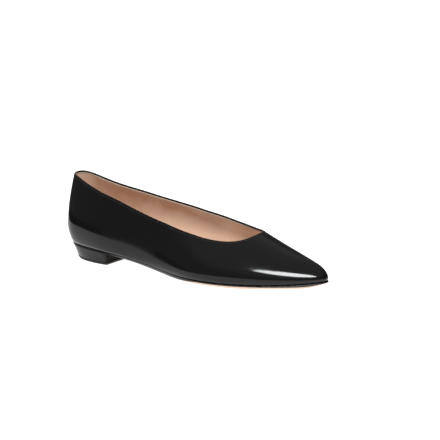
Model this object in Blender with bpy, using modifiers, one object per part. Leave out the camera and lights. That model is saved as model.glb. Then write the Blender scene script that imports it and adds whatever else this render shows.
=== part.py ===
# Right flat shoe: pointed toe, open instep, low covered block heel.
# +X points to the toe, +Y to the inner side of the foot and +Z up, and the floor is z = 0.
# Sizes are worked out along the last: x runs from the heel's back (0) to the toe tip (LENGTH).

from collections import namedtuple

import bmesh
import bpy
import numpy as np

MM = 0.001

# Driving dimensions
LENGTH = 265 * MM
TOE_RADIUS = 8 * MM          # plan radius of the toe tip
HEEL_RADIUS = 28.5 * MM      # plan radius of the heel's back
TOE_SWING = 3 * MM           # toe tip off the heel's centre line, to the inner side
SWING_START = 120 * MM       # where the centre line starts to curve
THROAT_X = 200.2 * MM        # front end of the opening, on the ridge of the vamp
WALL = 1.8 * MM              # upper with its lining
GAP = 0.3 * MM               # between pieces that meet
INSOLE_THICKNESS = 2 * MM
INSOLE_DISH = 0.8 * MM       # rise of the insole's rim over its middle
INSOLE_CLEARANCE = 0.5 * MM  # insole rim to the inside of the wall
SOLE_BEVEL = 1.6 * MM        # slant of the sole's lower edge
EDGE_SHARE = 0.6             # upright share of the sole's edge, above the bevel
HEEL_BREAST_X = 52.5 * MM    # front face of the heel
HEEL_SEAT_INSET = 0.6 * MM   # heel's top outline inside the sole's edge
LIFT_BACK_X = 10 * MM        # back of the heel where it meets its lift
LIFT_HALF_WIDTH = 21.5 * MM
LIFT_HEIGHT = 2.5 * MM

# Mesh counts
TOE_COLUMNS = 18             # toe tip to throat
SIDE_COLUMNS = 36            # throat to heel back
WALL_ROWS = 12               # feather line to topline or ridge
SOLE_STATIONS = 52           # heel back to toe tip
ACROSS = 5                   # points across the sole and insole
HEEL_STATIONS = 16           # heel back to breast
WELD = 0.01 * MM

# Steps of the numerical work
TURN_STEP = 1e-4             # station angle, for the outline's tangent
SLOPE_STEP = 0.1 * MM        # length, for the ridge's slope
HALVINGS = 50                # to find a height on a section

# Plan of the last at its widest level, as half widths from the centre line, in mm
Width = namedtuple("Width", "x outer inner")
WIDTHS = [
    Width(18, 23.8, 23.5),
    Width(45, 29.0, 28.5),
    Width(85, 29.0, 26.5),
    Width(120, 33.4, 28.5),
    Width(150, 41.2, 35.0),
    Width(176, 42.8, 38.5),
    Width(200, 38.2, 36.5),
    Width(225, 29.6, 29.5),
    Width(245, 20.2, 20.5),
]

# Feather line, where the upper turns under: its height, the wall's tuck inwards there
# and the height over which the tuck fades out, in mm
Feather = namedtuple("Feather", "x z tuck fade")
FEATHERS = [
    Feather(0, 15.1, 5.9, 21.4),
    Feather(30, 14.1, 4.2, 17.4),
    Feather(60, 12.3, 3.2, 13.6),
    Feather(95, 8.0, 2.8, 9.6),
    Feather(130, 3.6, 2.6, 6.4),
    Feather(160, 2.9, 2.6, 7.3),
    Feather(190, 2.9, 2.5, 8.0),
    Feather(215, 3.4, 2.3, 7.5),
    Feather(240, 4.8, 1.9, 6.5),
    Feather(265, 7.2, 1.0, 4.8),
]

# Ridge of the closed last over each section: its own x, its height, and the fullness
# of the section from wall to ridge, where 2 is an ellipse, in mm
Ridge = namedtuple("Ridge", "x ridge_x ridge_z fullness")
RIDGES = [
    Ridge(0, 32.5, 126.0, 1.83),
    Ridge(45, 62, 133.5, 1.60),
    Ridge(90, 98, 138.0, 1.41),
    Ridge(130, 132, 107.5, 1.34),
    Ridge(160, 160, 67.5, 1.63),
    Ridge(190, 189, 47.2, 1.86),
    Ridge(215, 212, 37.0, 1.90),
    Ridge(240, 234, 28.7, 1.88),
    Ridge(265, 253.6, 22.7, 1.74),
]

# Height of the topline on both sides, in mm
Topline = namedtuple("Topline", "x outer_z inner_z")
TOPLINES = [
    Topline(0, 77.3, 77.3),
    Topline(10, 76.6, 72.9),
    Topline(25, 72.3, 67.8),
    Topline(60, 62.5, 61.2),
    Topline(80, 56.2, 58.7),
    Topline(100, 50.3, 56.3),
    Topline(120, 46.1, 53.3),
    Topline(140, 42.8, 49.3),
    Topline(160, 39.9, 45.2),
    Topline(176, 38.4, 42.8),
    Topline(187, 38.6, 41.9),
    Topline(194, 39.9, 42.3),
]

# Outsole: lip beyond the feather line and thickness, in mm
Sole = namedtuple("Sole", "x lip thickness")
SOLES = [
    Sole(0, 0.2, 1.3),
    Sole(60, 0.2, 1.4),
    Sole(100, 0.3, 2.2),
    Sole(135, 0.5, 2.7),
    Sole(200, 0.8, 2.7),
    Sole(240, 0.9, 2.5),
    Sole(265, 0.7, 2.2),
]

OUTER = -1
INNER = 1


def column(rows, field):
    """One column of a table, in metres."""
    return np.array([getattr(row, field) for row in rows]) * MM


def spline(xs, ys):
    """Natural cubic spline through the points, as a function of x."""
    count = len(xs)
    step = np.diff(xs)
    slope = np.diff(ys) / step
    matrix = np.eye(count)
    right = np.zeros(count)
    for i in range(1, count - 1):
        matrix[i, i - 1:i + 2] = step[i - 1], 2 * (step[i - 1] + step[i]), step[i]
        right[i] = 6 * (slope[i] - slope[i - 1])
    bend = np.linalg.solve(matrix, right)

    def value(x):
        i = np.clip(np.searchsorted(xs, x) - 1, 0, count - 2)
        ahead = xs[i + 1] - x
        behind = x - xs[i]
        cubic = (bend[i] * ahead**3 + bend[i + 1] * behind**3) / (6 * step[i])
        start = (ys[i] / step[i] - bend[i] * step[i] / 6) * ahead
        end = (ys[i + 1] / step[i] - bend[i + 1] * step[i] / 6) * behind
        return cubic + start + end

    return value


def table_spline(rows, field):
    return spline(column(rows, "x"), column(rows, field))


def station_x(theta):
    """Station angle to x: 0 is the toe tip and pi the heel's back."""
    return LENGTH / 2 * (1 + np.cos(theta))


def station_angle(x):
    return np.arccos(np.clip(2 * x / LENGTH - 1, -1, 1))


def width_share(field):
    """Half width divided by the sine of the station angle, which rounds both ends."""
    xs = column(WIDTHS, "x")
    shares = column(WIDTHS, field) / np.sin(station_angle(xs))
    ends = np.sqrt(np.array([HEEL_RADIUS, TOE_RADIUS]) * LENGTH / 2)
    return spline(np.r_[0, xs, LENGTH], np.r_[ends[0], shares, ends[1]])


SHARES = {OUTER: width_share("outer"), INNER: width_share("inner")}
feather_z = table_spline(FEATHERS, "z")
feather_tuck = table_spline(FEATHERS, "tuck")
feather_fade = table_spline(FEATHERS, "fade")
ridge_x = table_spline(RIDGES, "ridge_x")
ridge_z = table_spline(RIDGES, "ridge_z")
ridge_fullness = spline(column(RIDGES, "x"), np.array([row.fullness for row in RIDGES]))
sole_lip = table_spline(SOLES, "lip")
sole_thickness = table_spline(SOLES, "thickness")


def centre_y(x):
    share = np.clip((x - SWING_START) / (LENGTH - SWING_START), 0, None)
    return TOE_SWING * share**2


def outline(theta, side):
    """Plan outline at the widest level."""
    x = station_x(theta)
    return x, centre_y(x) + side * np.sin(theta) * SHARES[side](x)


def inward(theta, side):
    """Unit plan normal of the outline, into the shoe."""
    x_a, y_a = outline(np.clip(theta - TURN_STEP, 0, np.pi), side)
    x_b, y_b = outline(np.clip(theta + TURN_STEP, 0, np.pi), side)
    length = np.hypot(x_b - x_a, y_b - y_a)
    return -side * (y_b - y_a) / length, side * (x_b - x_a) / length


def feather_outline(theta, side, inset):
    """Plan outline at the feather line, moved inwards by inset."""
    x, y = outline(theta, side)
    normal_x, normal_y = inward(theta, side)
    offset = feather_tuck(x) + inset
    return x + normal_x * offset, y + normal_y * offset


def ridge_slope(x):
    before = x - SLOPE_STEP
    after = x + SLOPE_STEP
    return (ridge_z(after) - ridge_z(before)) / (ridge_x(after) - ridge_x(before))


def last_point(theta, phi, side):
    """Point on the closed last: phi runs from the feather line (0) to the ridge (1).
    A section rises as a superellipse, sheared so that it leaves the ridge along its slope."""
    x, y = outline(theta, side)
    normal_x, normal_y = inward(theta, side)
    top_x = ridge_x(x)
    power = 2 / ridge_fullness(x)
    out = np.cos(np.pi / 2 * phi) ** power
    up = np.sin(np.pi / 2 * phi) ** power
    rise = (ridge_z(x) - feather_z(x)) * up + ridge_slope(x) * (x - top_x) * out * up**2
    tuck = feather_tuck(x) * (1 - np.clip(rise / feather_fade(x), 0, 1)) ** 2
    point_x = top_x + (x - top_x) * out + normal_x * tuck
    point_y = centre_y(top_x) + (y - centre_y(top_x)) * out + normal_y * tuck
    return np.stack(np.broadcast_arrays(point_x, point_y, feather_z(x) + rise), -1)


def phi_at_height(theta, z, side):
    """Phi where a section reaches the height z, by halving."""
    low = np.zeros_like(theta)
    high = np.ones_like(theta)
    for _ in range(HALVINGS):
        middle = (low + high) / 2
        below = last_point(theta, middle, side)[..., 2] < z
        low = np.where(below, middle, low)
        high = np.where(below, high, middle)
    return (low + high) / 2


def topline_phi(field, side):
    """Phi of the topline as a function of x. It reaches the ridge at the throat as a root,
    so the opening ends there in a round curve."""
    xs = column(TOPLINES, "x")
    phi = phi_at_height(station_angle(xs), column(TOPLINES, field), side)
    share = spline(xs, (1 - phi) / np.sqrt(1 - xs / THROAT_X))

    def value(x):
        root = np.sqrt(np.clip(1 - x / THROAT_X, 0, None))
        return 1 - root * share(np.minimum(x, THROAT_X))

    return value


TOPLINE_PHI = {OUTER: topline_phi("outer_z", OUTER), INNER: topline_phi("inner_z", INNER)}


def sole_bottom(x):
    """Underside of the sole, flat on the floor under the ball."""
    return np.maximum(feather_z(x) - GAP - sole_thickness(x), 0)


def material(name, colour, roughness):
    made = bpy.data.materials.new(name)
    made.use_nodes = True
    shader = made.node_tree.nodes["Principled BSDF"]
    shader.inputs["Base Color"].default_value = (*colour, 1)
    shader.inputs["Roughness"].default_value = roughness
    shader.inputs["Metallic"].default_value = 0
    return made


def add_object(name, data, finish):
    data.materials.append(finish)
    made = bpy.data.objects.new(name, data)
    made.parent = frame
    shoe.objects.link(made)
    return made


def mesh_of(name, points, faces):
    """Smooth mesh with coincident points welded, as at the toe and heel."""
    mesh = bpy.data.meshes.new(name)
    mesh.from_pydata(points.reshape(-1, 3).tolist(), [], faces)
    body = bmesh.new()
    body.from_mesh(mesh)
    bmesh.ops.remove_doubles(body, verts=body.verts, dist=WELD)
    body.to_mesh(mesh)
    body.free()
    mesh.shade_smooth()
    return mesh


def grid_faces(rows, columns, first, flip):
    """Quads of a grid of points numbered row by row from first."""
    faces = []
    for i in range(rows - 1):
        for j in range(columns - 1):
            corner = first + i * columns + j
            face = [corner, corner + 1, corner + columns + 1, corner + columns]
            faces.append(face[::-1] if flip else face)
    return faces


def ring_faces(rings, size, capped):
    """Quads between closed rings of points, and a cap on the first ring if asked."""
    faces = []
    for i in range(rings - 1):
        for j in range(size):
            after = (j + 1) % size
            faces.append([i * size + j, i * size + after, (i + 1) * size + after, (i + 1) * size + j])
    if capped:
        faces.append(list(range(size))[::-1])
    return faces


def across(outer_edge, inner_edge, count):
    """Points from the outer edge to the inner one, for every station."""
    share = np.linspace(0, 1, count)[None, :, None]
    return outer_edge[:, None] * (1 - share) + inner_edge[:, None] * share


def edge_points(theta, side, inset, z):
    x, y = feather_outline(theta, side, inset)
    return np.stack((x, y, z), -1)


def make_upper(finish):
    """Wall from the feather line up to the topline, closed over the ridge ahead of the throat.
    Its columns fan out upwards, so that they end evenly round the throat."""
    low = np.linspace(0, np.pi, TOE_COLUMNS + SIDE_COLUMNS + 1)
    toe = np.linspace(0, station_angle(THROAT_X), TOE_COLUMNS, endpoint=False)
    side_share = (1 + np.cos(np.linspace(0, np.pi, SIDE_COLUMNS + 1))) / 2
    high = np.r_[toe, station_angle(THROAT_X * side_share)]
    share = np.linspace(0, 1, WALL_ROWS + 1)[:, None]
    theta = low * (1 - share) + high * share
    grids = []
    faces = []
    for side in (OUTER, INNER):
        phi = share * TOPLINE_PHI[side](station_x(high))
        faces += grid_faces(*theta.shape, len(grids) * theta.size, side == OUTER)
        grids.append(last_point(theta, phi, side))
    upper = add_object("upper", mesh_of("upper", np.array(grids), faces), finish)
    wall = upper.modifiers.new("wall", "SOLIDIFY")
    wall.thickness = WALL
    wall.offset = -1
    wall.use_even_offset = True
    wall.use_quality_normals = True


def make_outsole(finish):
    theta = np.linspace(0, np.pi, SOLE_STATIONS + 1)
    x = station_x(theta)
    top = feather_z(x) - GAP
    bottom = sole_bottom(x)
    edge = top - (top - bottom) * EDGE_SHARE
    lip = -sole_lip(x)
    outer, inner = [
        [edge_points(theta, side, lip, top), edge_points(theta, side, lip, edge),
         edge_points(theta, side, lip + SOLE_BEVEL, bottom)]
        for side in (OUTER, INNER)
    ]
    rings = np.concatenate((
        across(outer[0], inner[0], ACROSS),
        inner[1][:, None],
        across(inner[2], outer[2], ACROSS),
        outer[1][:, None],
    ), axis=1)
    mesh = mesh_of("outsole", rings, ring_faces(*rings.shape[:2], False))
    add_object("outsole", mesh, finish)


def make_insole(finish):
    theta = np.linspace(0, np.pi, SOLE_STATIONS + 1)
    bottom = feather_z(station_x(theta))
    inset = WALL + INSOLE_CLEARANCE
    low = [edge_points(theta, side, inset, bottom) for side in (OUTER, INNER)]
    high = [edge_points(theta, side, inset, bottom + INSOLE_THICKNESS) for side in (OUTER, INNER)]
    top = across(*high, ACROSS)
    rim_share = np.linspace(-1, 1, ACROSS) ** 2
    top[..., 2] -= INSOLE_DISH * np.sin(theta)[:, None] * (1 - rim_share)
    rings = np.concatenate((top, across(low[1], low[0], ACROSS)), axis=1)
    mesh = mesh_of("insole", rings, ring_faces(*rings.shape[:2], False))
    add_object("insole", mesh, finish)


def lift_outline(turn, side):
    """Half an ellipse from the back (turn 0) to the breast (turn a quarter)."""
    x = HEEL_BREAST_X - (HEEL_BREAST_X - LIFT_BACK_X) * np.cos(turn)
    return x, side * LIFT_HALF_WIDTH * np.sin(turn)


def make_heel(finish):
    turn = np.linspace(0, np.pi / 2, HEEL_STATIONS + 1)
    theta = station_angle(HEEL_BREAST_X * (1 - np.cos(turn)))
    seat = sole_bottom(station_x(theta)) - GAP
    foot = np.full_like(seat, LIFT_HEIGHT + GAP)
    high = [edge_points(theta, side, HEEL_SEAT_INSET, seat) for side in (OUTER, INNER)]
    low = [np.stack((*lift_outline(turn, side), foot), -1) for side in (OUTER, INNER)]
    for edge in high:
        edge[-1, 0] = HEEL_BREAST_X
    rings = np.concatenate((across(*high, ACROSS), across(low[1], low[0], ACROSS)), axis=1)
    mesh = mesh_of("heel", rings[::-1], ring_faces(*rings.shape[:2], True))
    add_object("heel", mesh, finish)


def make_top_lift(finish):
    """Flat plate of the heel's lower outline."""
    turn = np.linspace(-np.pi / 2, np.pi / 2, 2 * HEEL_STATIONS + 1)
    x, y = lift_outline(turn, INNER)
    curve = bpy.data.curves.new("top_lift", "CURVE")
    curve.dimensions = "2D"
    curve.fill_mode = "BOTH"
    curve.extrude = LIFT_HEIGHT / 2
    line = curve.splines.new("POLY")
    line.points.add(len(turn) - 1)
    for point, px, py in zip(line.points, x, y):
        point.co = (px, py, 0, 1)
    line.use_cyclic_u = True
    add_object("top_lift", curve, finish).location.z = LIFT_HEIGHT / 2


def centre_frame():
    """Put the origin under the middle of the box round the wall's outside and the sole."""
    meshes = [piece.data for piece in shoe.objects if piece.type == "MESH"]
    points = np.array([point.co for mesh in meshes for point in mesh.vertices])
    frame.location.xy = -(points.min(axis=0) + points.max(axis=0))[:2] / 2


for old in list(bpy.data.objects):
    bpy.data.objects.remove(old, do_unlink=True)

shoe = bpy.data.collections.new("flat_shoe")
bpy.context.scene.collection.children.link(shoe)
frame = bpy.data.objects.new("flat_shoe_frame", None)
shoe.objects.link(frame)

patent = material("patent_leather", (0.012, 0.012, 0.013), 0.12)
make_upper(patent)
make_insole(material("nude_leather", (0.62, 0.42, 0.31), 0.5))
make_outsole(material("sole_leather", (0.62, 0.45, 0.33), 0.5))
make_heel(material("heel_cover", (0.013, 0.013, 0.014), 0.16))
make_top_lift(material("lift_rubber", (0.02, 0.02, 0.02), 0.6))
centre_frame()
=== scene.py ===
import bmesh
import bpy
import numpy as np
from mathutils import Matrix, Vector


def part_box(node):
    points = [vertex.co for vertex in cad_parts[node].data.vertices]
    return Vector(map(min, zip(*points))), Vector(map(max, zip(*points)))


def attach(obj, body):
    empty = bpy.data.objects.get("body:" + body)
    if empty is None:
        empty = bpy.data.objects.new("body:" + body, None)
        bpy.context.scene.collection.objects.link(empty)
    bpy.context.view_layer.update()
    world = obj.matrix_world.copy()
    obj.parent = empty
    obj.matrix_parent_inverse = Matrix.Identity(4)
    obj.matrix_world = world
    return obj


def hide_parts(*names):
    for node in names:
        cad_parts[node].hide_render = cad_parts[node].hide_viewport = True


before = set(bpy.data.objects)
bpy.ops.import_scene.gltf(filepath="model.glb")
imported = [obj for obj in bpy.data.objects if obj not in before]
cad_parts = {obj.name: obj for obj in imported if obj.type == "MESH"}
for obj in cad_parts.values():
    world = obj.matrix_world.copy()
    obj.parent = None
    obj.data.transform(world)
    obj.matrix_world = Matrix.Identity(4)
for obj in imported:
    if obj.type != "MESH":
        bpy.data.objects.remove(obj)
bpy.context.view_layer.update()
print("frame loaded:", sorted(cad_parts))

mm = 0.001
outerSide = -1
innerSide = 1

# the last that every piece is worked out on, with the same sizes as the solids
lastForm = {
    "length": 265,
    "toeRadius": 8,
    "heelRadius": 28.5,
    "toeSwing": 3,
    "swingStart": 120,
    "throatX": 200.2,
    # x, outer and inner half width
    "widths": [
        (18, 23.8, 23.5), (45, 29, 28.5), (85, 29, 26.5), (120, 33.4, 28.5), (150, 41.2, 35),
        (176, 42.8, 38.5), (200, 38.2, 36.5), (225, 29.6, 29.5), (245, 20.2, 20.5),
    ],
    # x, height of the feather line, tuck of the wall there, height over which the tuck fades
    "feathers": [
        (0, 15.1, 5.9, 21.4), (30, 14.1, 4.2, 17.4), (60, 12.3, 3.2, 13.6), (95, 8, 2.8, 9.6),
        (130, 3.6, 2.6, 6.4), (160, 2.9, 2.6, 7.3), (190, 2.9, 2.5, 8), (215, 3.4, 2.3, 7.5),
        (240, 4.8, 1.9, 6.5), (265, 7.2, 1, 4.8),
    ],
    # x, the ridge's own x, its height, and the section's fullness (no length: 2 is an ellipse)
    "ridges": [
        (0, 32.5, 126, 1.83), (45, 62, 133.5, 1.6), (90, 98, 138, 1.41), (130, 132, 107.5, 1.34),
        (160, 160, 67.5, 1.63), (190, 189, 47.2, 1.86), (215, 212, 37, 1.9), (240, 234, 28.7, 1.88),
        (265, 253.6, 22.7, 1.74),
    ],
    # x, height of the topline outside and inside
    "toplines": [
        (0, 77.3, 77.3), (10, 76.6, 72.9), (25, 72.3, 67.8), (60, 62.5, 61.2), (80, 56.2, 58.7),
        (100, 50.3, 56.3), (120, 46.1, 53.3), (140, 42.8, 49.3), (160, 39.9, 45.2), (176, 38.4, 42.8),
        (187, 38.6, 41.9), (194, 39.9, 42.3),
    ],
}
lastLength = lastForm["length"] * mm
turnStep = 1e-4               # station angle, for the plan's tangent
surfaceStep = 1e-3            # of both parameters, for the surface's tangents
poleTurn = 0.01               # normals are taken this far off the toe's tip and the heel's back
poleShare = 0.004             # and this far off the ridge
slopeStep = 0.1 * mm          # for the ridge's slope
halvings = 40                 # to find a height on a section


# one column of a table of the last, in metres
def tableColumn(key, column):
    return np.array([row[column] for row in lastForm[key]], float) * mm


# natural cubic spline: the bends at the knots solve one linear system, with no bend at both ends
def naturalSpline(xs, ys):
    step = np.diff(xs)
    slope = np.diff(ys) / step
    matrix = np.eye(len(xs))
    inside = np.arange(1, len(xs) - 1)
    matrix[inside, inside - 1] = step[:-1]
    matrix[inside, inside] = 2 * (step[:-1] + step[1:])
    matrix[inside, inside + 1] = step[1:]
    bend = np.linalg.solve(matrix, np.r_[0, 6 * np.diff(slope), 0])

    def value(x):
        i = np.clip(np.searchsorted(xs, x) - 1, 0, len(xs) - 2)
        ahead = xs[i + 1] - x
        behind = x - xs[i]
        cubic = (bend[i] * ahead**3 + bend[i + 1] * behind**3) / (6 * step[i])
        start = (ys[i] / step[i] - bend[i] * step[i] / 6) * ahead
        end = (ys[i + 1] / step[i] - bend[i + 1] * step[i] / 6) * behind
        return cubic + start + end

    return value


# column of a table as a curve over its first column
def tableSpline(key, column):
    return naturalSpline(tableColumn(key, 0), tableColumn(key, column))


# station angle: 0 at the toe tip and pi at the heel's back, x = half the length times (1 + cosine)
def stationX(theta):
    return lastLength / 2 * (1 + np.cos(theta))


# station angle at x, the same formula solved for the angle
def stationAngle(x):
    return np.arccos(np.clip(2 * x / lastLength - 1, -1, 1))


# half width over the sine of the station angle, which rounds both ends of the plan
def widthShare(column):
    xs = tableColumn("widths", 0)
    shares = tableColumn("widths", column) / np.sin(stationAngle(xs))
    heelEnd = np.sqrt(lastForm["heelRadius"] * mm * lastLength / 2)
    toeEnd = np.sqrt(lastForm["toeRadius"] * mm * lastLength / 2)
    return naturalSpline(np.r_[0, xs, lastLength], np.r_[heelEnd, shares, toeEnd])


planShare = {outerSide: widthShare(1), innerSide: widthShare(2)}
featherZ = tableSpline("feathers", 1)
featherTuck = tableSpline("feathers", 2)
featherFade = tableSpline("feathers", 3)
ridgeX = tableSpline("ridges", 1)
ridgeZ = tableSpline("ridges", 2)
ridgeFullness = naturalSpline(tableColumn("ridges", 0), tableColumn("ridges", 3) / mm)


# centre line: straight to the waist, then a parabola towards the inner side
def centreY(x):
    start = lastForm["swingStart"] * mm
    share = np.clip((x - start) / (lastLength - start), 0, None)
    return lastForm["toeSwing"] * mm * share**2


# plan at the widest level: centre line plus or minus sine of the angle times the share
def planOutline(theta, side):
    x = stationX(theta)
    return x, centreY(x) + side * np.sin(theta) * planShare[side](x)


# unit normal of the plan, into the shoe, from two points close by
def planInward(theta, side):
    xA, yA = planOutline(np.clip(theta - turnStep, 0, np.pi), side)
    xB, yB = planOutline(np.clip(theta + turnStep, 0, np.pi), side)
    length = np.hypot(xB - xA, yB - yA)
    return -side * (yB - yA) / length, side * (xB - xA) / length


# plan at the feather line, moved inwards by inset
def featherEdge(theta, side, inset, z):
    x, y = planOutline(theta, side)
    normalX, normalY = planInward(theta, side)
    offset = featherTuck(x) + inset
    return np.stack(np.broadcast_arrays(x + normalX * offset, y + normalY * offset, z), -1)


# slope of the ridge: rise over run between two points close by
def ridgeSlope(x):
    before = x - slopeStep
    after = x + slopeStep
    return (ridgeZ(after) - ridgeZ(before)) / (ridgeX(after) - ridgeX(before))


# point of the closed last: a superellipse from the feather line (phi 0) to the ridge (phi 1), sheared so
# that it leaves the ridge along its slope, and pulled in near the feather line by a fading tuck
def lastPoint(theta, phi, side):
    x, y = planOutline(theta, side)
    normalX, normalY = planInward(theta, side)
    topX = ridgeX(x)
    power = 2 / ridgeFullness(x)
    out = np.cos(np.pi / 2 * phi) ** power
    up = np.sin(np.pi / 2 * phi) ** power
    rise = (ridgeZ(x) - featherZ(x)) * up + ridgeSlope(x) * (x - topX) * out * up**2
    tuck = featherTuck(x) * (1 - np.clip(rise / featherFade(x), 0, 1)) ** 2
    pointX = topX + (x - topX) * out + normalX * tuck
    pointY = centreY(topX) + (y - centreY(topX)) * out + normalY * tuck
    return np.stack(np.broadcast_arrays(pointX, pointY, featherZ(x) + rise), -1)


# vectors over their own lengths
def unit(vectors):
    return vectors / np.linalg.norm(vectors, axis=-1, keepdims=True)


# outward normal: cross product of the tangents along the station and along the section,
# a little off the poles
def lastNormal(theta, phi, side):
    theta = np.clip(theta, poleTurn, np.pi - poleTurn)
    phi = np.clip(phi, 0, 1 - poleShare)
    ahead = lastPoint(theta + surfaceStep, phi, side)
    behind = lastPoint(theta - surfaceStep, phi, side)
    above = lastPoint(theta, phi + surfaceStep, side)
    below = lastPoint(theta, np.clip(phi - surfaceStep, 0, 1), side)
    return unit(np.cross(ahead - behind, above - below) * side)


# phi where a section reaches the height z, by halving
def phiAtHeight(theta, z, side):
    low = np.zeros_like(theta)
    high = np.ones_like(theta)
    for _ in range(halvings):
        middle = (low + high) / 2
        below = lastPoint(theta, middle, side)[..., 2] < z
        low = np.where(below, middle, low)
        high = np.where(below, high, middle)
    return (low + high) / 2


# phi of a line that runs drop below the topline: 1 minus a root, so that it rounds the throat
def toplinePhi(side, drop):
    xs = tableColumn("toplines", 0)
    heights = tableColumn("toplines", 1 if side == outerSide else 2) - drop
    throat = lastForm["throatX"] * mm + drop
    phi = phiAtHeight(stationAngle(xs), heights, side)
    share = naturalSpline(xs, (1 - phi) / np.sqrt(1 - xs / throat))

    def value(x):
        return 1 - np.sqrt(np.clip(1 - x / throat, 0, None)) * share(np.minimum(x, throat))

    return value


# the solids' frame is centred under their box: the lift gives the way from the last's sizes to it
liftForm = {
    "backX": 10,
    "halfWidth": 21.5,
    "height": 2.5,
    "chamfer": 0.35,
    "flare": 1.0,             # of its top, which the heel's foot shares
    "baseInset": 0.4,
    "breastFade": 2,          # behind the breast, over which its front follows the taper
    "sharpAngle": 40,
}
liftLow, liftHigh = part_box("top_lift")
toFrame = np.array((liftLow.x - liftForm["backX"] * mm, (liftLow.y + liftHigh.y) / 2, 0))
weldDistance = 1e-6           # metres, within which a piece's seams are closed


# one side after the other as a closed loop: outer side from toe to heel, inner side back to the toe
def joinSides(outer, inner):
    return np.concatenate((outer, inner[..., -2:0:-1, :]), axis=-2)


# quads of a grid of point numbers, with the last column joined to the first if it wraps
def quadsOf(index, wrap=False, flip=False):
    after = np.roll(index, -1, axis=1) if wrap else index[:, 1:]
    here = index if wrap else index[:, :-1]
    quads = np.stack((here[:-1], after[:-1], after[1:], here[1:]), -1).reshape(-1, 4)
    return quads[:, ::-1] if flip else quads


# gathers grids of points and their quads into one piece
class PieceParts:
    def __init__(self):
        self.points = []
        self.quads = []
        self.slots = []
        self.count = 0

    def add(self, points):
        index = np.arange(self.count, self.count + points[..., 0].size).reshape(points.shape[:-1])
        self.points.append(points.reshape(-1, 3))
        self.count += index.size
        return index

    def face(self, index, wrap=False, flip=False, slot=0):
        quads = quadsOf(index, wrap, flip)
        self.quads.append(quads)
        self.slots.append(np.full(len(quads), slot))


# makes the gathered grids one mesh, closes its seams and hands it to the frame as a piece
def putPiece(name, parts, finishes, node=None, sharpAngle=None, values=None):
    points = np.concatenate(parts.points) + toFrame
    mesh = bpy.data.meshes.new(name)
    mesh.from_pydata(points.tolist(), [], np.concatenate(parts.quads).tolist())
    for finish in finishes:
        mesh.materials.append(finish)
    mesh.polygons.foreach_set("material_index", np.concatenate(parts.slots))
    for key, value in (values or {}).items():
        layer = mesh.attributes.new(key, "FLOAT", "POINT")
        layer.data.foreach_set("value", np.ascontiguousarray(value, np.float32))
    body = bmesh.new()
    body.from_mesh(mesh)
    bmesh.ops.remove_doubles(body, verts=body.verts, dist=weldDistance)
    bmesh.ops.dissolve_degenerate(body, edges=body.edges, dist=weldDistance)
    body.to_mesh(mesh)
    body.free()
    mesh.shade_smooth()
    if sharpAngle:
        mesh.set_sharp_from_angle(angle=np.radians(sharpAngle))
    piece = bpy.data.objects.new(name, mesh)
    bpy.context.scene.collection.objects.link(piece)
    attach(piece, "root")
    if node:
        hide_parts(node)
    print(name, "has", len(mesh.polygons), "faces")
    return piece


# finishes: small helpers for node trees
def newFinish(name):
    finish = bpy.data.materials.new(name)
    finish.use_nodes = True
    shader = finish.node_tree.nodes["Principled BSDF"]
    return finish, finish.node_tree, shader


def setInputs(node, values):
    for key, value in values.items():
        node.inputs[key].default_value = value


def addNode(tree, kind, values=None, **settings):
    node = tree.nodes.new(kind)
    for key, value in settings.items():
        setattr(node, key, value)
    setInputs(node, values or {})
    return node


# a socket takes another node's output, or else a fixed value
def feed(tree, socket, source):
    if isinstance(source, bpy.types.NodeSocket):
        tree.links.new(source, socket)
    else:
        socket.default_value = source


def metres(lengths):
    return [length * mm for length in lengths]


def objectPlace(tree):
    return addNode(tree, "ShaderNodeTexCoord").outputs["Object"]


# x, y and z of a place
def axesOf(tree, place):
    node = addNode(tree, "ShaderNodeSeparateXYZ")
    tree.links.new(place, node.inputs[0])
    return node.outputs


# value of the piece's own attribute
def ownValue(tree, name):
    return addNode(tree, "ShaderNodeAttribute", attribute_name=name).outputs["Fac"]


noiseBand = (0.3, 0.7)        # where most of a noise's values lie
noiseGrit = 0.6               # weight of the finer octaves in a coarse noise
glossFineness = 3             # of the noise for gloss against the one for tone


def noise(tree, place, scale, detail=2.0, roughness=0.5):
    node = addNode(tree, "ShaderNodeTexNoise", {"Scale": scale, "Detail": detail, "Roughness": roughness})
    tree.links.new(place, node.inputs["Vector"])
    return node.outputs["Fac"]


# value between low and high, mapped onto toLow to toHigh
def spread(tree, value, low, high, toLow, toHigh):
    node = addNode(tree, "ShaderNodeMapRange")
    for socket, source in zip(node.inputs, (value, low, high, toLow, toHigh)):
        feed(tree, socket, source)
    return node.outputs[0]


# sum, product or larger one of two values
def combine(tree, operation, first, second, clamp=False):
    node = addNode(tree, "ShaderNodeMath", operation=operation, use_clamp=clamp)
    feed(tree, node.inputs[0], first)
    feed(tree, node.inputs[1], second)
    return node.outputs[0]


# first colour where share is 0, second where it is 1
def blendColours(tree, share, first, second):
    node = addNode(tree, "ShaderNodeMix", data_type="RGBA")
    tree.links.new(share, node.inputs["Factor"])
    for socket, colour in ((node.inputs[6], first), (node.inputs[7], second)):
        feed(tree, socket, (*colour, 1) if isinstance(colour, tuple) else colour)
    return node.outputs[2]


# normal tilted by the slope of a height, over an earlier bump if one is given
def bump(tree, height, distance, strength=1.0, under=None):
    node = addNode(tree, "ShaderNodeBump", {"Strength": strength, "Distance": distance})
    tree.links.new(height, node.inputs["Height"])
    if under:
        tree.links.new(under, node.inputs["Normal"])
    return node.outputs["Normal"]


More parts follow.
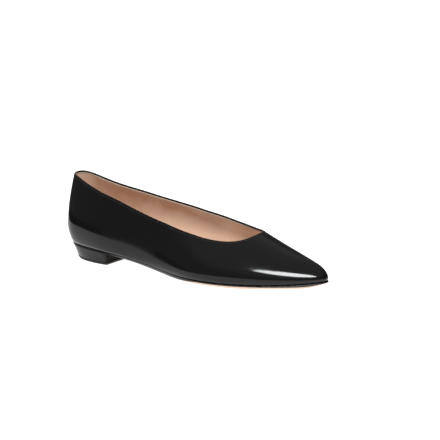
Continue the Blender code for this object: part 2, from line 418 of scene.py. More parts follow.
# patent leather: near black under a clear gloss coat, with a slow ripple and a faint peel in the gloss
patentLook = {
    "dark": (0.0034, 0.0034, 0.0036),
    "pale": (0.0047, 0.0046, 0.0048),
    "cloudScale": 45,
    "glossScale": 260,
    "roughness": (0.06, 0.11),
    "rippleScale": 105,
    "rippleHeight": 0.018,
    "peelScale": 850,
    "peelHeight": 0.0025,
    "coat": 0.42,
    "footCoat": 1.0,          # where the piece's own attribute marks the turned foot
    "coatRoughness": 0.09,
    "specular": 0.06,
    "footSpecular": 1.0,
}


def patentFinish(name, look):
    finish, tree, shader = newFinish(name)
    place = objectPlace(tree)
    cloud = noise(tree, place, look["cloudScale"], 3)
    tree.links.new(blendColours(tree, cloud, look["dark"], look["pale"]), shader.inputs["Base Color"])
    gloss = spread(tree, noise(tree, place, look["glossScale"], 4), *noiseBand, *look["roughness"])
    tree.links.new(gloss, shader.inputs["Roughness"])
    ripple = bump(tree, noise(tree, place, look["rippleScale"], 1), look["rippleHeight"] * mm)
    peel = bump(tree, noise(tree, place, look["peelScale"], 2), look["peelHeight"] * mm, under=ripple)
    tree.links.new(peel, shader.inputs["Normal"])
    tree.links.new(peel, shader.inputs["Coat Normal"])
    foot = ownValue(tree, "footGloss")
    tree.links.new(spread(tree, foot, 0, 1, look["coat"], look["footCoat"]), shader.inputs["Coat Weight"])
    mirror = spread(tree, foot, 0, 1, look["specular"], look["footSpecular"])
    tree.links.new(mirror, shader.inputs["Specular IOR Level"])
    shader.inputs["Coat Roughness"].default_value = look["coatRoughness"]
    return finish


# nude lining leather: pores and a fine grain, with painted shade that makes it browner under the collar
# and painted light that makes it fairer deep inside, at the heel's back and towards the throat; its cut
# edge is greyer, partly its own colour and partly a painted highlight
liningLook = {
    "shadedBrown": (0.39, 0.205, 0.122),
    "litFair": (0.90, 0.70, 0.56),
    "litDepths": (5, 27),    # under the edge, from the painted shade's brown to the painted light's fair
    "litGainXs": (-88, -14),     # between which the depth counts for more towards the toe
    "litGains": (0.5, 1.3),
    "sock": (0.48, 0.34, 0.25),
    "heelLitXs": (-128, -116),   # painted light: fair at the heel's back, fading to brown forward of it
    "heelLitShare": 1.0,
    "throatLitXs": (-25, 45),    # painted light, from brown to fairer towards the throat
    "throatLitShare": 0.58,
    "cloudScale": 38,
    "cloudBand": (0.35, 0.65),
    "cloudShare": 0.1,
    # cut edge: greyer than the lining, partly its own colour and partly a painted highlight where it
    # would catch the light from above
    "edge": (0.42, 0.30, 0.235),
    "edgeWidth": 1.7,
    "edgeFade": 0.8,
    "edgeTintAndHighlight": 0.9,
    "grainScale": 1900,
    "grainHeight": 0.05,
    "fineScale": 900,
    "poreSize": 0.35,         # share of a grain's cell
    "poreDepth": 0.6,         # share of the grain's height
    "glossScale": 420,
    "roughness": (0.42, 0.58),
    "specular": 0.35,
    "sheen": 0.08,
}


# share of painted light against painted shade: the depth under the edge times a gain along the shoe, or
# what the heel's back or the throat gives where that is more
def paintedLiningLight(tree, look, place, below):
    along = axesOf(tree, place)["X"]
    litDepthShare = spread(tree, below, *metres(look["litDepths"]), 0, 1)
    gain = spread(tree, along, *metres(look["litGainXs"]), *look["litGains"])
    heel = spread(tree, along, *metres(look["heelLitXs"]), look["heelLitShare"], 0)
    throat = spread(tree, along, *metres(look["throatLitXs"]), 0, look["throatLitShare"])
    paintedLight = combine(tree, "MAXIMUM", combine(tree, "MULTIPLY", litDepthShare, gain), heel)
    return combine(tree, "MAXIMUM", paintedLight, throat)


def liningFinish(name, look, edged):
    finish, tree, shader = newFinish(name)
    place = objectPlace(tree)
    cloudNoise = noise(tree, place, look["cloudScale"], 4, noiseGrit)
    cloud = spread(tree, cloudNoise, *look["cloudBand"], -look["cloudShare"], look["cloudShare"])
    if edged:
        below = ownValue(tree, "edgeDistance")
        # painted shade and light: brown under the collar, fair deeper down, at the heel's back and
        # towards the throat
        tone = combine(tree, "ADD", cloud, paintedLiningLight(tree, look, place, below), clamp=True)
        colour = blendColours(tree, tone, look["shadedBrown"], look["litFair"])
        # the cut edge's greyer, paler tint: partly its own colour, partly a painted highlight
        width = look["edgeWidth"] * mm
        rim = spread(tree, below, width - look["edgeFade"] * mm, width, look["edgeTintAndHighlight"], 0)
        colour = blendColours(tree, rim, colour, look["edge"])
    else:
        # sock: its own colour, mottled a little towards the painted shade's brown
        tone = combine(tree, "ADD", cloud, 1, clamp=True)
        colour = blendColours(tree, tone, look["shadedBrown"], look["sock"])
    tree.links.new(colour, shader.inputs["Base Color"])
    pores = addNode(tree, "ShaderNodeTexVoronoi", {"Scale": look["grainScale"]})
    tree.links.new(place, pores.inputs["Vector"])
    pit = spread(tree, pores.outputs["Distance"], 0, look["poreSize"], 0, 1)
    gloss = spread(tree, noise(tree, place, look["glossScale"], 3), *noiseBand, *look["roughness"])
    tree.links.new(gloss, shader.inputs["Roughness"])
    fine = bump(tree, noise(tree, place, look["fineScale"], 4, noiseGrit), look["grainHeight"] * mm)
    pored = bump(tree, pit, look["grainHeight"] * mm, look["poreDepth"], fine)
    tree.links.new(pored, shader.inputs["Normal"])
    shader.inputs["Specular IOR Level"].default_value = look["specular"]
    shader.inputs["Sheen Weight"].default_value = look["sheen"]
    return finish


# plain finishes from one noise for tone, one for gloss and one for relief
plainLooks = {
    "soleLeather": {
        "dark": (0.62, 0.44, 0.34), "pale": (0.72, 0.54, 0.43), "toneScale": 55,
        "roughness": (0.34, 0.5), "reliefScale": 1400, "reliefHeight": 0.03, "specular": 0.4,
    },
    "edgePaint": {
        "dark": (0.006, 0.006, 0.006), "pale": (0.012, 0.011, 0.011), "toneScale": 140,
        "roughness": (0.45, 0.6), "reliefScale": 500, "reliefHeight": 0.04, "specular": 0.05,
        "line": (0.48, 0.52),  # of the sole's attribute, from bare leather to paint
    },
    "liftRubber": {
        "dark": (0.010, 0.010, 0.010), "pale": (0.018, 0.018, 0.018), "toneScale": 220,
        "roughness": (0.48, 0.62), "reliefScale": 1600, "reliefHeight": 0.04, "specular": 0.1,
    },
    "blackThread": {
        "dark": (0.008, 0.008, 0.009), "pale": (0.016, 0.016, 0.017), "toneScale": 900,
        "roughness": (0.4, 0.55), "reliefScale": 3500, "reliefHeight": 0.03, "specular": 0.5,
    },
    "nudeThread": {
        "dark": (0.38, 0.26, 0.20), "pale": (0.46, 0.33, 0.26), "toneScale": 900,
        "roughness": (0.45, 0.6), "reliefScale": 3500, "reliefHeight": 0.03, "specular": 0.4,
    },
}


def plainFinish(name):
    look = plainLooks[name]
    finish, tree, shader = newFinish(name)
    place = objectPlace(tree)
    tone = spread(tree, noise(tree, place, look["toneScale"], 4, noiseGrit), *noiseBand, 0, 1)
    tree.links.new(blendColours(tree, tone, look["dark"], look["pale"]), shader.inputs["Base Color"])
    glossNoise = noise(tree, place, look["toneScale"] * glossFineness, 3)
    tree.links.new(spread(tree, glossNoise, *noiseBand, *look["roughness"]), shader.inputs["Roughness"])
    relief = bump(tree, noise(tree, place, look["reliefScale"], 3, noiseGrit), look["reliefHeight"] * mm)
    tree.links.new(relief, shader.inputs["Normal"])
    shader.inputs["Specular IOR Level"].default_value = look["specular"]
    return finish


# sole leather whose edge paint ends in a line, where the piece's own attribute passes the middle;
# another attribute gives the paint's gloss
def soleFinish(name, paintName):
    finish = plainFinish(name)
    tree = finish.node_tree
    base = tree.nodes["Principled BSDF"].inputs["Base Color"]
    paint = ownValue(tree, "paint")
    paintLook = plainLooks[paintName]
    cover = spread(tree, paint, *paintLook["line"], 0, 1)
    tree.links.new(blendColours(tree, cover, base.links[0].from_socket, paintLook["dark"]), base)
    mirror = spread(tree, cover, 0, 1, plainLooks[name]["specular"], ownValue(tree, "paintGloss"))
    tree.links.new(mirror, tree.nodes["Principled BSDF"].inputs["Specular IOR Level"])
    return finish


patent = patentFinish("patentLeather", patentLook)
liningLeather = liningFinish("liningLeather", liningLook, True)
sockLeather = liningFinish("sockLeather", liningLook, False)
soleLeather = soleFinish("soleLeather", "edgePaint")
edgePaint = plainFinish("edgePaint")
liftRubber = plainFinish("liftRubber")
blackThread = plainFinish("blackThread")
nudeThread = plainFinish("nudeThread")
print("finishes made")


# grid of the wall from the feather line to a line drop below the topline: its columns fan out upwards
# so that they end evenly round the throat, and its rows crowd towards the top; finer ones take the
# place of the two lowest
def wallGrid(form, drop):
    throat = lastForm["throatX"] * mm + drop
    low = np.linspace(0, np.pi, form["toeColumns"] + form["sideColumns"] + 1)
    toe = np.linspace(0, stationAngle(throat), form["toeColumns"], endpoint=False)
    back = (1 + np.cos(np.linspace(0, np.pi, form["sideColumns"] + 1))) / 2
    high = np.r_[toe, stationAngle(throat * back)]
    rows = 1 - (1 - np.linspace(0, 1, form["rows"] + 1)) ** form["crowding"]
    foot = np.linspace(0, rows[2], form["footRows"], endpoint=False)
    share = np.r_[foot, rows[2:]][:, None]
    theta = low * (1 - share) + high * share
    points = {}
    normals = {}
    for side in (outerSide, innerSide):
        phi = share * toplinePhi(side, drop)(stationX(high))
        points[side] = lastPoint(theta, phi, side)
        normals[side] = lastNormal(theta, phi, side)
    # both sides share their normals where they meet: toe tip, heel back and ridge
    for where in (np.s_[:, 0], np.s_[:, -1], np.s_[-1, :form["toeColumns"] + 1]):
        shared = unit(normals[outerSide][where] + normals[innerSide][where])
        normals[outerSide][where] = shared
        normals[innerSide][where] = shared
    return [joinSides(values[outerSide], values[innerSide]) for values in (points, normals)]


# columns of a wall grid that end on the topline
def edgeColumns(form):
    return np.s_[form["toeColumns"]:form["toeColumns"] + 2 * form["sideColumns"]]


# loop of the topline inside a wall grid: points, outward normals and the direction up off the edge
def edgeLoop(form, points, normals):
    columns = edgeColumns(form)
    edge = points[-1, columns]
    outward = normals[-1, columns]
    along = np.roll(edge, -1, axis=0) - np.roll(edge, 1, axis=0)
    return edge, outward, unit(np.cross(along, outward))


# distance of every grid point from the topline, row by row
def distanceTo(edge, points):
    gap = [np.linalg.norm(row[:, None] - edge[None], axis=-1).min(axis=1) for row in points]
    return np.array(gap)


# leather shell with a rolled top edge, between two depths under the last's surface,
# which may vary over the grid
def wallShell(form, points, normals, outerDepth, innerDepth):
    parts = PieceParts()
    outer = parts.add(points - normals * outerDepth[..., None])
    inner = parts.add(points - normals * innerDepth[..., None])
    edge, outward, up = edgeLoop(form, points, normals)
    columns = edgeColumns(form)
    half = ((innerDepth - outerDepth) / 2)[-1, columns, None]
    middle = edge - outward * ((innerDepth + outerDepth) / 2)[-1, columns, None]
    turn = np.linspace(0, np.pi, form["rollRows"] + 2)[1:-1, None, None]
    roll = parts.add(middle + half * (outward * np.cos(turn) + up * np.sin(turn)))
    parts.face(outer, wrap=True, flip=True)
    parts.face(inner, wrap=True)
    parts.face(np.stack((inner[0], outer[0])), wrap=True, flip=True)
    parts.face(np.concatenate((outer[-1:, columns], roll, inner[-1:, columns])), wrap=True, flip=True)
    return parts


# a value for each point of such a shell: the grid's own on both faces, and 0 round the rolled edge
def shellValues(parts, grid):
    both = np.tile(grid.ravel(), 2)
    return np.r_[both, np.zeros(parts.count - both.size)]


upperForm = {
    "toeColumns": 60,
    "sideColumns": 120,
    "rows": 64,
    "crowding": 1.7,
    "footRows": 9,            # in place of the two lowest
    "rollRows": 7,
    "thickness": 1.1,
    "stitchLine": 1.9,        # below the topline
    "stitchTrough": 0.05,     # how deep the thread pulls the leather in
    "troughWidth": 0.55,
    "footTurn": 0.8,          # how far its foot turns under
    "footHeight": 3.0,
    "turnXs": (6, 30),        # between which that turn grows from the heel's back
    "turnShares": (0.3, 1),
    "glossHeight": 3.5,       # over which its foot is glossier
    "glossXs": (115, 160),    # between which that gloss falls off towards the toe
    "glossShares": (1, 0.55),
}
leather = upperForm["thickness"] * mm
wallPoints, wallNormals = wallGrid(upperForm, leather / 2)
topEdge, _, topUp = edgeLoop(upperForm, wallPoints, wallNormals)
wallDistance = distanceTo(topEdge, wallPoints) + leather / 2
trough = (wallDistance / mm - upperForm["stitchLine"]) / upperForm["troughWidth"]
footHeight = np.linalg.norm(wallPoints - wallPoints[:1], axis=-1) / mm
footShare = np.clip(1 - footHeight / upperForm["footHeight"], 0, 1)
wallX = wallPoints[..., 0] / mm
footTurn = upperForm["footTurn"] * mm * np.interp(wallX, upperForm["turnXs"], upperForm["turnShares"])
# depth: a bell-shaped trough along the stitches, and at the foot a turn with the cube of the way down
upperDepth = upperForm["stitchTrough"] * mm * np.exp(-trough**2) + footTurn * footShare**3
upperParts = wallShell(upperForm, wallPoints, wallNormals, upperDepth, np.full(upperDepth.shape, leather))
footGloss = np.clip(1 - footHeight / upperForm["glossHeight"], 0, 1) ** 2
footGloss *= np.interp(wallX, upperForm["glossXs"], upperForm["glossShares"])
upperValues = {"footGloss": shellValues(upperParts, footGloss)}
putPiece("upperLeather", upperParts, [patent], node="upper", values=upperValues)


liningForm = {
    "toeColumns": 48,
    "sideColumns": 110,
    "rows": 56,
    "crowding": 1.7,
    "footRows": 2,
    "rollRows": 7,
    "depth": (1.12, 1.8),     # outer and inner face under the last's surface
    "drop": 1.5,              # of its edge under the leather's
}
liningFaces = np.array(liningForm["depth"]) * mm
edgeHalf = (liningFaces[1] - liningFaces[0]) / 2
liningPoints, liningNormals = wallGrid(liningForm, liningForm["drop"] * mm + edgeHalf)
liningEdge = edgeLoop(liningForm, liningPoints, liningNormals)[0]
liningDistance = distanceTo(liningEdge, liningPoints) + edgeHalf
liningDepths = [np.full(liningDistance.shape, depth) for depth in liningFaces]
liningParts = wallShell(liningForm, liningPoints, liningNormals, *liningDepths)
liningValues = {"edgeDistance": shellValues(liningParts, liningDistance)}
putPiece("lining", liningParts, [liningLeather], values=liningValues)


# row of stitches along the topline: each is a thread bent in an arch, round in section,
# with its ends in the leather
stitchForm = {
    "pitch": 2.3,
    "length": 1.75,
    "radius": 0.2,
    "arch": 0.16,
    "sink": 0.1,
    "taper": 0.25,            # power of the arch with which its ends narrow
    "segments": 6,
    "sides": 6,
}


def stitchRow(name, finish, line, outwards, form):
    step = np.linalg.norm(np.roll(line, -1, axis=0) - line, axis=1)
    reach = np.r_[0, np.cumsum(step)]
    count = int(round(reach[-1] / (form["pitch"] * mm)))
    at = np.linspace(0, reach[-1], count, endpoint=False) + reach[-1] / count / 2
    share = np.linspace(-0.5, 0.5, form["segments"] + 1) * form["length"] * mm
    where = (at[:, None] + share[None]) % reach[-1]
    closed = np.concatenate((line, line[:1]))
    closedOut = np.concatenate((outwards, outwards[:1]))
    centre = np.stack([np.interp(where, reach, closed[:, k]) for k in range(3)], -1)
    out = unit(np.stack([np.interp(where, reach, closedOut[:, k]) for k in range(3)], -1))
    arch = np.cos(np.linspace(-np.pi / 2, np.pi / 2, form["segments"] + 1))
    lift = (form["arch"] * arch - form["sink"]) * mm
    centre = centre + out * lift[None, :, None]
    along = unit(np.gradient(centre, axis=1))
    across = unit(np.cross(along, out))
    turn = np.linspace(0, 2 * np.pi, form["sides"], endpoint=False)[:, None]
    radius = (form["radius"] * mm * np.clip(arch, 0, 1) ** form["taper"])[None, :, None, None]
    ring = np.cos(turn) * across[:, :, None] + np.sin(turn) * out[:, :, None]
    points = centre[:, :, None] + radius * ring
    parts = PieceParts()
    index = parts.add(points)
    after = np.roll(index, -1, axis=2)
    quads = np.stack((index[:, :-1], index[:, 1:], after[:, 1:], after[:, :-1]), -1).reshape(-1, 4)
    parts.quads.append(quads[:, ::-1])
    parts.slots.append(np.zeros(len(quads), int))
    return putPiece(name, parts, [finish])


lineChunks = 24               # keeps the table of distances small


# line on a wall at a distance under its edge: step down off the edge, then settle on the plane of the
# nearest grid point
def lineUnderEdge(edge, up, distance, points, normals):
    line = edge - up * distance
    flatPoints = points.reshape(-1, 3)
    flatNormals = normals.reshape(-1, 3)
    near = np.concatenate([
        np.linalg.norm(flatPoints[None] - chunk[:, None], axis=-1).argmin(axis=1)
        for chunk in np.array_split(line, lineChunks)
    ])
    normal = flatNormals[near]
    height = ((line - flatPoints[near]) * normal).sum(axis=1, keepdims=True)
    return line - normal * height, normal


stitchDown = upperForm["stitchLine"] * mm - leather / 2
stitchLine, stitchOut = lineUnderEdge(topEdge, topUp, stitchDown, wallPoints, wallNormals)
stitchLine = stitchLine - stitchOut * upperForm["stitchTrough"] * mm
stitchRow("toplineStitches", blackThread, stitchLine, stitchOut, stitchForm)
insideLine = stitchLine - stitchOut * (liningFaces[1] - upperForm["stitchTrough"] * mm)
stitchRow("liningStitches", nudeThread, insideLine, -stitchOut, stitchForm)


# solid between a stack of loops from top to bottom, closed by caps that join both sides across
def stackSolid(parts, loops, across, topDish=0.0):
    parts.face(parts.add(loops), wrap=True)
    for loop, dish, flip in ((loops[0], topDish, False), (loops[-1], 0.0, True)):
        half = len(loop) // 2
        nearSide = loop[:half + 1]
        farSide = np.concatenate((loop[:1], loop[:half - 1:-1]))
        share = np.linspace(0, 1, across)[None, :, None]
        cap = nearSide[:, None] * (1 - share) + farSide[:, None] * share
        turn = np.linspace(0, np.pi, half + 1)[:, None]
        bowl = np.sin(turn) * (1 - (2 * share[..., 0] - 1) ** 2)
        cap[..., 2] -= dish * bowl
        parts.face(parts.add(cap), flip=flip)


# loop of an edge on both sides, at even station angles
def loopOf(make, stations):
    theta = np.linspace(0, np.pi, stations + 1)
    return joinSides(make(theta, outerSide), make(theta, innerSide))


# sock over the insole board: its rim follows the inside of the wall at its own height
sockForm = {
    "stations": 120,
    "across": 22,
    "thickness": 2.0,
    "dish": 0.8,
    "rimRound": 0.5,
    "rimShare": 0.3,          # of that round, at its middle loop
    "wallDepth": 1.85,
    "floor": 0.1,             # above the feather line
}


# loop inside the wall: at a rise over the feather line, moved in by depth along the wall's normal
def insideWall(rise, depth):
    def make(theta, side):
        z = featherZ(stationX(theta)) + rise
        phi = phiAtHeight(theta, z, side)
        point = lastPoint(theta, phi, side) - lastNormal(theta, phi, side) * depth
        point[..., 2] = z
        return point

    return loopOf(make, sockForm["stations"])


sockParts = PieceParts()
sockTop = sockForm["thickness"]
rimRound = sockForm["rimRound"]
rimMiddle = sockForm["rimShare"] * rimRound
# height and inset of each loop, down the rounded rim to the floor
sockSteps = [
    (sockTop, rimRound), (sockTop - rimMiddle, rimMiddle),
    (sockTop - rimRound, 0), (sockForm["floor"], 0),
]
sockLoops = [
    insideWall(height * mm, (sockForm["wallDepth"] + inset) * mm) for height, inset in sockSteps
]
stackSolid(sockParts, np.array(sockLoops), sockForm["across"], topDish=sockForm["dish"] * mm)
putPiece("sock", sockParts, [sockLeather], node="insole")


# outsole: upright black edge with a soft upper corner, nude bevel and underside
soleForm = {
    "stations": 130,
    "across": 14,
    "gap": 0.03,              # under the feather line
    "solidGap": 0.3,          # of the solid, from which the thickness counts
    "edgeShare": 0.6,         # of the way down, where the bevel starts
    # inset from the edge, and share of the way down: round corner, upright edge, bevel
    "profile": [
        (0.3, 0), (0.09, 0.04), (0, 0.12), (0, 0.54), (0.06, 0.6), (0.2, 0.66), (1.35, 0.96), (1.7, 1),
    ],
    "sharpAngle": 50,
    # the paint covers the bevel behind the first x, then ends on the upright edge and nears the bevel
    # at the toe: its end is 0 at the bevel's top and 1 at its foot
    "paintXs": (122, 160, 205, 250),
    "paintEnds": (1.3, -0.65, -0.65, -0.15),
    "paintRise": 0.4,         # how fast the attribute falls across that end
    "glossXs": (55, 75, 120, 160),    # gloss of the painted edge
    "glosses": (0.1, 0.9, 0.9, 0.5),
    "xs": (0, 30, 60, 100, 135, 200, 240, 256, 265),
    "lips": (0.3, -0.4, -0.6, -0.5, 0.3, 0.8, 0.9, 0.8, 0.7),
    "thicknesses": (1.3, 1.35, 1.6, 2.8, 2.9, 2.7, 2.7, 2.9, 1.3),
}
soleXs = np.array(soleForm["xs"]) * mm
soleLip = naturalSpline(soleXs, np.array(soleForm["lips"]) * mm)
soleThickness = naturalSpline(soleXs, np.array(soleForm["thicknesses"]) * mm)


# underside of the sole: its thickness under the feather line, flat on the floor under the ball
def soleBottom(x):
    return np.maximum(featherZ(x) - soleForm["solidGap"] * mm - soleThickness(x), 0)


# loop round the sole: inset from its edge, at a share of the way from its top to its underside
def soleLoop(inset, share):
    def make(theta, side):
        x = stationX(theta)
        top = featherZ(x) - soleForm["gap"] * mm
        return featherEdge(theta, side, inset * mm - soleLip(x), top + (soleBottom(x) - top) * share)

    return loopOf(make, soleForm["stations"])


soleParts = PieceParts()
soleLoops = np.array([soleLoop(inset, share) for inset, share in soleForm["profile"]])
stackSolid(soleParts, soleLoops, soleForm["across"])
# paint: half where the painted edge ends, more above that line and less below it
soleTurn = np.linspace(0, np.pi, soleForm["stations"] + 1)
soleX = stationX(np.r_[soleTurn, soleTurn[-2:0:-1]]) / mm
paintEnd = np.interp(soleX, soleForm["paintXs"], soleForm["paintEnds"])
downBevel = (np.array(soleForm["profile"])[:, 1] - soleForm["edgeShare"]) / (1 - soleForm["edgeShare"])
paintRows = np.clip(0.5 + (paintEnd[None] - downBevel[:, None]) * soleForm["paintRise"], 0, 1)
capPaint = np.zeros((soleForm["stations"] + 1, soleForm["across"]))
underPaint = capPaint.copy()
underPaint[:, 0] = paintRows[-1, :soleForm["stations"] + 1]
underPaint[:, -1] = underPaint[:, 0]
edgeGloss = np.interp(soleX, soleForm["glossXs"], soleForm["glosses"])
soleValues = {
    "paint": np.concatenate((paintRows.ravel(), capPaint.ravel() + 1, underPaint.ravel())),
    "paintGloss": np.r_[np.tile(edgeGloss, len(soleForm["profile"])), np.zeros(2 * capPaint.size)],
}
putPiece("outsoleSkin", soleParts, [soleLeather], node="outsole",
         sharpAngle=soleForm["sharpAngle"], values=soleValues)


# heel cover: straight walls from the seat's outline down to the lift's top, round corners at the breast
heelForm = {
    "breastX": 52.5,
    "seatInset": 0.6,
    "seatGap": 0.08,
    "cornerRadius": 1.6,
    "sideColumns": 44,
    "cornerColumns": 7,
    "rows": 14,
    "across": 16,
    "footRound": 0.3,
    "heartShare": 0.6,        # of the breast's x, at the point that the round leans to
    "frontBlend": 8,          # power with which the seat's sides are drawn to the breast
    "sharpAngle": 40,
}


# open outline from the outer breast corner round the back to the inner one, with quarter rounds
# at the breast
def breastOutline(edge, radius):
    corner = np.linspace(np.pi / 2, 0, heelForm["cornerColumns"], endpoint=False)
    turn = np.linspace(np.pi / 2, 0, heelForm["sideColumns"] + 1)
    halves = []
    for side in (outerSide, innerSide):
        x, y = edge(turn, side, radius)
        cornerX = heelForm["breastX"] * mm - radius + radius * np.sin(corner)
        cornerY = y[0] - side * radius + side * radius * np.cos(corner)
        halves.append(np.stack((np.r_[cornerX, x], np.r_[cornerY, y]), -1))
    return np.concatenate((halves[0], halves[1][-2::-1]))


# seat: the sole's outline under the upper, a little inside its edge
def seatEdge(turn, side, radius):
    front = heelForm["breastX"] * mm - radius
    theta = stationAngle(front * (1 - np.cos(turn)))
    edge = featherEdge(theta, side, heelForm["seatInset"] * mm, 0.0)
    return edge[..., 0] + (front - edge[0, 0]) * np.sin(turn) ** heelForm["frontBlend"], edge[..., 1]


# lift: half an ellipse, inset all round if asked
def liftEdge(inset):
    def edge(turn, side, radius):
        breast = heelForm["breastX"] * mm
        depth = breast - liftForm["backX"] * mm
        end = np.arccos(radius / depth)
        angle = turn / (np.pi / 2) * end
        x = breast - (depth - inset) * np.cos(angle)
        return x, side * (liftForm["halfWidth"] * mm - inset) * np.sin(angle)

    return edge


# walls between stacked open outlines, a flat breast across their ends, and both caps
def breastSolid(parts, levels, across, breastSlot=0):
    index = parts.add(levels)
    parts.face(index)
    share = np.linspace(0, 1, across)[None, :, None]
    breast = levels[:, :1] * (1 - share) + levels[:, -1:] * share
    parts.face(parts.add(breast), flip=True, slot=breastSlot)
    for level, flip in ((levels[0], False), (levels[-1], True)):
        half = len(level) // 2
        cap = level[:half + 1, None] * (1 - share) + level[:half - 1:-1, None] * share
        parts.face(parts.add(cap), flip=flip)


radius = heelForm["cornerRadius"] * mm
seat = breastOutline(seatEdge, radius)
foot = breastOutline(liftEdge(-liftForm["flare"] * mm), radius)
drop = np.linspace(0, 1, heelForm["rows"] + 1)[:, None]
footInset = np.zeros_like(drop)
footInset[-1] = heelForm["footRound"] * mm
seatZ = soleBottom(seat[:, 0]) - heelForm["seatGap"] * mm
footZ = liftForm["height"] * mm + heelForm["seatGap"] * mm
plan = seat[None] * (1 - drop[..., None]) + foot[None] * drop[..., None]
heart = np.array((heelForm["breastX"] * mm * heelForm["heartShare"], 0))
plan = plan + unit(heart - plan) * footInset[..., None]
levelsZ = seatZ * (1 - drop) + footZ * drop
heelLevels = np.concatenate((plan, levelsZ[..., None]), axis=-1)
heelParts = PieceParts()
breastSolid(heelParts, heelLevels, heelForm["across"], breastSlot=1)
putPiece("heelCover", heelParts, [patent, edgePaint], node="heel",
         sharpAngle=heelForm["sharpAngle"])

# lift: tapers from the heel's lower outline to a smaller base, with small chamfers
chamfer = liftForm["chamfer"]
flare = liftForm["flare"]
base = liftForm["baseInset"]
liftSteps = [
    (chamfer - flare, liftForm["height"]), (-flare, liftForm["height"] - chamfer),
    (base, chamfer), (base + chamfer, 0),
]
liftLevels = []
for inset, height in liftSteps:
    outline = breastOutline(liftEdge(inset * mm), radius)
    behind = (heelForm["breastX"] * mm - outline[:, 0]) / (liftForm["breastFade"] * mm)
    outline[:, 0] -= inset * mm * np.exp(-behind**2)
    liftLevels.append(np.column_stack((outline, np.full(len(outline), height * mm))))
liftParts = PieceParts()
breastSolid(liftParts, np.array(liftLevels), heelForm["across"])
putPiece("topLift", liftParts, [liftRubber], node="top_lift",
         sharpAngle=liftForm["sharpAngle"])
print("pieces made")


white = (1, 1, 1, 1)
black = (0, 0, 0, 1)


# one mesh of the studio, which is no part of the shoe
def studioThing(name, points, faces, finish):
    mesh = bpy.data.meshes.new(name)
    mesh.from_pydata(points, [], faces)
    mesh.materials.append(finish)
    thing = bpy.data.objects.new(name, mesh)
    bpy.context.scene.collection.objects.link(thing)
    return thing


# floor: a wide pale sheet that lights itself, as on a light table
floorForm = {
    "half": 9000,
    "colour": (0.3, 0.3, 0.3),
    "roughness": 0.9,
    "specular": 0.1,
    "glow": 0.95,
}
floorFinish, _, floorShader = newFinish("floorSheet")
setInputs(floorShader, {
    "Base Color": (*floorForm["colour"], 1), "Roughness": floorForm["roughness"],
    "Specular IOR Level": floorForm["specular"],
    "Emission Color": white, "Emission Strength": floorForm["glow"],
})
floorHalf = floorForm["half"] * mm
floorCorners = [(x * floorHalf, y * floorHalf, 0) for x, y in ((-1, -1), (1, -1), (1, 1), (-1, 1))]
floor = studioThing("studioFloor", floorCorners, [(0, 1, 2, 3)], floorFinish)

# dark surround: an upright elliptical wall, seen by mirrored rays alone, in an even pale world
surroundForm = {
    "halves": (360, 330),     # half axes along and across the shoe
    "points": 96,
    "height": 165,
    "rise": 260,              # more height on the shoe's inner side
    "glow": 0.16,
    "innerGlow": 0.06,
    "innerYs": (-80, 80),     # from the outer glow to the inner one
    "fade": 0.5,              # share of its height from which it fades into the world
    "gapGlow": 0.0,           # of its foot behind the heel
    "gapHeights": (13.6, 20.4),
    "gapXs": (-256, -242),    # where that foot ends
    "worldGlow": 0.42,
}


# surround's glow: darker at its foot behind the heel, another on the inner side, and towards its top
# the world's own
def surroundFinish(name, form):
    finish, tree, shader = newFinish(name)
    setInputs(shader, {"Base Color": black, "Specular IOR Level": 0, "Emission Color": white})
    axes = axesOf(tree, objectPlace(tree))
    above = spread(tree, axes["Z"], *metres(form["gapHeights"]), 0, 1)
    ahead = spread(tree, axes["X"], *metres(form["gapXs"]), 0, 1)
    gapShare = combine(tree, "MAXIMUM", above, ahead)
    outerGlow = spread(tree, gapShare, 0, 1, form["gapGlow"], form["glow"])
    sideGlow = spread(tree, axes["Y"], *metres(form["innerYs"]), outerGlow, form["innerGlow"])
    glow = spread(tree, ownValue(tree, "share"), form["fade"], 1, sideGlow, form["worldGlow"])
    tree.links.new(glow, shader.inputs["Emission Strength"])
    return finish


ringTurn = np.linspace(0, 2 * np.pi, surroundForm["points"], endpoint=False)
ringPlan = np.stack((np.cos(ringTurn), np.sin(ringTurn)), -1) * metres(surroundForm["halves"])
ringTop = (surroundForm["height"] + surroundForm["rise"] * np.clip(np.sin(ringTurn), 0, 1)) * mm
ringPoints = np.stack([np.column_stack((ringPlan, z)) for z in (np.zeros_like(ringTop), ringTop)])
ringFaces = quadsOf(np.arange(2 * len(ringTurn)).reshape(2, -1), wrap=True)
ringFinish = surroundFinish("surroundCloth", surroundForm)
ring = studioThing("darkSurround", ringPoints.reshape(-1, 3).tolist(), ringFaces.tolist(), ringFinish)
ringShares = ring.data.attributes.new("share", "FLOAT", "POINT")
ringShares.data.foreach_set("value", np.repeat((0.0, 1.0), len(ringTurn)).astype(np.float32))
for rays in ("camera", "diffuse", "shadow", "transmission", "volume_scatter"):
    setattr(ring, "visible_" + rays, False)

world = bpy.data.worlds.new("studio")
world.use_nodes = True
setInputs(world.node_tree.nodes["Background"], {"Color": white, "Strength": surroundForm["worldGlow"]})
bpy.context.scene.world = world


# direction to a point of the studio: azimuth 0 is on the shoe's outer side, 90 ahead of its toe
def bearing(azimuth, elevation):
    a, e = np.radians((azimuth, elevation))
    return Vector((np.sin(a) * np.cos(e), -np.cos(a) * np.cos(e), np.sin(e)))


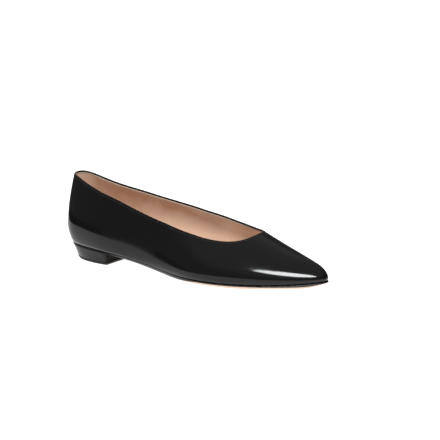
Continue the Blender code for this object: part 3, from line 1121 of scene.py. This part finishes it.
# key: a domed panel ahead of the outer side, which only the gloss mirrors, as the bright line on the toe;
# its rim is a parabola that leans towards the heel over a shallow foot
keyForm = {
    "azimuth": 41.5,
    "elevation": 35,
    "distance": 1300,
    "halfWidth": 545,
    "shift": -99,
    "domeHeight": 300,
    "foot": 42,               # its depth under the rim's ends
    "lean": 0.42,
    "footLean": 0.7,
    "roll": -6,
    "glow": 38,
    "colour": (0.96, 0.985, 1.0),
    "aim": (85, -15, 15),
    "points": 72,
}
keyTurn = np.linspace(0, 2 * np.pi, keyForm["points"], endpoint=False)
keyAcross = np.cos(keyTurn)
keyDome = keyForm["domeHeight"] * np.sin(keyTurn) ** 2 * (1 - keyForm["lean"] * keyAcross)
keyFoot = -keyForm["foot"] * np.sqrt(np.abs(np.sin(keyTurn))) * (1 + keyForm["footLean"] * keyAcross)
keyUp = np.where(np.sin(keyTurn) > 0, keyDome, keyFoot)
keyPlan = np.column_stack((keyAcross * keyForm["halfWidth"] + keyForm["shift"], keyUp)) * mm
keyRoll = np.radians(keyForm["roll"])
rollCos = np.cos(keyRoll)
rollSin = np.sin(keyRoll)
keyPlan = keyPlan @ np.array(((rollCos, rollSin), (-rollSin, rollCos)))
keyAway = bearing(keyForm["azimuth"], keyForm["elevation"])
keyRight = Vector((0, 0, 1)).cross(keyAway).normalized()
keyCentre = Vector(keyForm["aim"]) * mm + keyAway * keyForm["distance"] * mm
keyAxes = np.array((keyRight, keyAway.cross(keyRight)))
keyPoints = np.array(keyCentre) + keyPlan @ keyAxes
keyFinish, _, keyShader = newFinish("keyGlow")
setInputs(keyShader, {
    "Base Color": black, "Emission Color": (*keyForm["colour"], 1), "Emission Strength": keyForm["glow"],
})
key = studioThing("keyPanel", keyPoints.tolist(), [tuple(range(keyForm["points"]))], keyFinish)
key.visible_camera = False
key.visible_diffuse = False

# fill: soft light from above that the gloss doesn't mirror
fillForm = {"strength": 4.8, "angle": 55, "azimuth": 10, "elevation": 72}
fillLight = bpy.data.lights.new("topFill", "SUN")
fillLight.energy = fillForm["strength"]
fillLight.angle = np.radians(fillForm["angle"])
fill = bpy.data.objects.new("topFill", fillLight)
fillAway = bearing(fillForm["azimuth"], fillForm["elevation"])
fill.rotation_euler = fillAway.to_track_quat("Z", "Y").to_euler()
fill.visible_glossy = False
bpy.context.scene.collection.objects.link(fill)

# camera: the view fitted to the photograph, which puts the target at a pixel of its 440 x 440 frame
cameraForm = {
    "azimuth": 33,
    "elevation": 12.4,
    "distance": 2500,
    "pixelsPerMm": 1.142,
    "target": (0, 1.6, 35),
    "pixel": (195.7, 232.8),
    "frame": 440,
    "sensor": 36,
    "clipEnd": 60000,
}
camera = bpy.data.cameras.new("camera")
camera.sensor_width = cameraForm["sensor"]
frameWidth = cameraForm["frame"] / cameraForm["pixelsPerMm"]
camera.lens = cameraForm["distance"] / frameWidth * cameraForm["sensor"]
camera.clip_end = cameraForm["clipEnd"] * mm
view = bpy.data.objects.new("camera", camera)
away = bearing(cameraForm["azimuth"], cameraForm["elevation"])
target = Vector(cameraForm["target"]) * mm
right = Vector((np.cos(np.radians(cameraForm["azimuth"])), np.sin(np.radians(cameraForm["azimuth"])), 0))
middle = cameraForm["frame"] / 2
scale = mm / cameraForm["pixelsPerMm"]
aim = target + right * (middle - cameraForm["pixel"][0]) * scale
aim += away.cross(right) * (cameraForm["pixel"][1] - middle) * scale
view.location = target + away * cameraForm["distance"] * mm
view.rotation_euler = (view.location - aim).to_track_quat("Z", "Y").to_euler()
bpy.context.scene.collection.objects.link(view)
bpy.context.scene.camera = view
bpy.context.scene.view_settings.view_transform = "Standard"
print("studio set")
